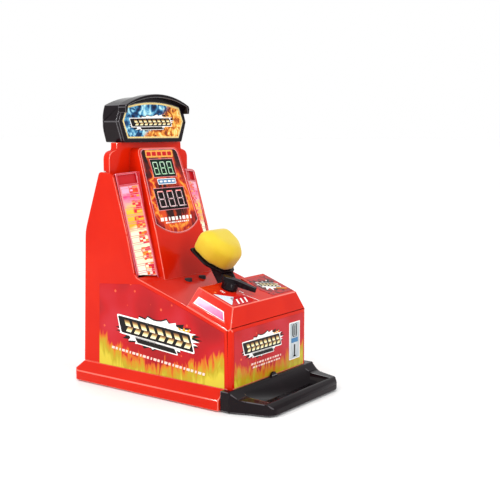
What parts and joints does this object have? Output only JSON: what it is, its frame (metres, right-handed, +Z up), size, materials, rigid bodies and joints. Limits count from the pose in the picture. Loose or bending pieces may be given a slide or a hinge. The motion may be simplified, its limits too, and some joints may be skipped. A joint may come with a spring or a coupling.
{
  "type": "desktop boxing punch machine",
  "caption": "Desktop boxing punch machine: a cabinet with a hinged foam punch pad, a sloped deck with a selector knob, a display tower and a lit head.",
  "frame": {"origin": "centre of the footprint, on the surface the machine stands on", "axes": "+Z up, -Y towards the player, +X to the right seen from behind the player's back looking at the display"},
  "size_m": [0.12, 0.1976, 0.2405],
  "materials": {
    "red_abs": "high gloss injection moulded ABS",
    "dark_red_abs": "gloss moulded ABS",
    "black_abs": "gloss moulded ABS",
    "rubber_grey": "matt moulded rubber",
    "zinc_steel": "zinc plated",
    "nickel_steel": "nickel plated, bright",
    "cell_wrap": "shrink sleeve",
    "pink_lens": "translucent moulded lens",
    "clear_lens": "translucent moulded lens",
    "printed_label": "printed and laminated label",
    "printed_panel": "printed polycarbonate panel",
    "marquee_print": "back-printed translucent panel",
    "display_green": "moulded LED display",
    "display_red": "moulded LED display",
    "circuit_board": "solder mask on laminate",
    "switch_body": "moulded thermoset",
    "yellow_foam": "soft moulded skin foam"
  },
  "bodies": {
    "cabinet": {"base_tray": "red_abs", "rubber_feet": "rubber_grey", "batteries": "cell_wrap", "battery_contacts": "nickel_steel", "cabinet_shell": "red_abs", "rear_cover": "red_abs", "base_screws": "zinc_steel", "rear_screws": "zinc_steel", "front_tray": "black_abs", "corner_window_left": "pink_lens", "corner_window_right": "pink_lens", "side_labels": "printed_label", "front_label": "printed_label", "deck_label": "printed_label", "dial_label": "printed_label", "display_housing": "red_abs", "display_panel": "printed_panel", "high_score_display": "display_green", "score_display": "display_red", "main_board": "circuit_board", "light_frame_left": "dark_red_abs", "light_frame_right": "dark_red_abs", "light_strip_left": "clear_lens", "light_strip_right": "clear_lens", "light_board_left": "circuit_board", "light_board_right": "circuit_board", "tower_cap": "red_abs", "marquee_housing": "black_abs", "marquee_bezel": "black_abs", "marquee_panel": "marquee_print", "marquee_light": "circuit_board", "marquee_screws": "zinc_steel", "selector_switch": "switch_body", "hinge_housing": "black_abs", "hinge_pin": "nickel_steel", "bump_stops": "rubber_grey", "speed_sensor": "switch_body", "sensor_board": "circuit_board", "speaker": "switch_body", "power_switch": "switch_body"},
    "pad": {"pad_arm": "black_abs", "pad_plate": "black_abs", "pad_screws": "zinc_steel", "punch_pad": "yellow_foam"},
    "selector": {"selector_knob": "black_abs", "selector_shaft": "nickel_steel"},
    "power_slide": {"power_slider": "black_abs"},
    "battery_cover": {"battery_door": "red_abs", "door_screw": "zinc_steel"}
  },
  "joints": [
    {"name": "pad_swing", "type": "hinge", "parent": "cabinet", "child": "pad", "pos_m": [0, -0.0235, 0.08462], "axis": [-1, 0, 0], "range_deg": [-53.5, 39.5]},
    {"name": "selector_turn", "type": "hinge", "parent": "cabinet", "child": "selector", "pos_m": [-0.018, -0.0355, 0.08644], "axis": [0, -0.342, 0.9397], "range_deg": [-120, 0]},
    {"name": "power_slide", "type": "slide", "parent": "cabinet", "child": "power_slide", "axis": [0, 1, 0], "range_m": [0, 0.0042]},
    {"name": "battery_cover_swing", "type": "hinge", "parent": "cabinet", "child": "battery_cover", "pos_m": [0, 0.029, 0.0018], "axis": [1, 0, 0], "range_deg": [0, 75]}
  ]
}
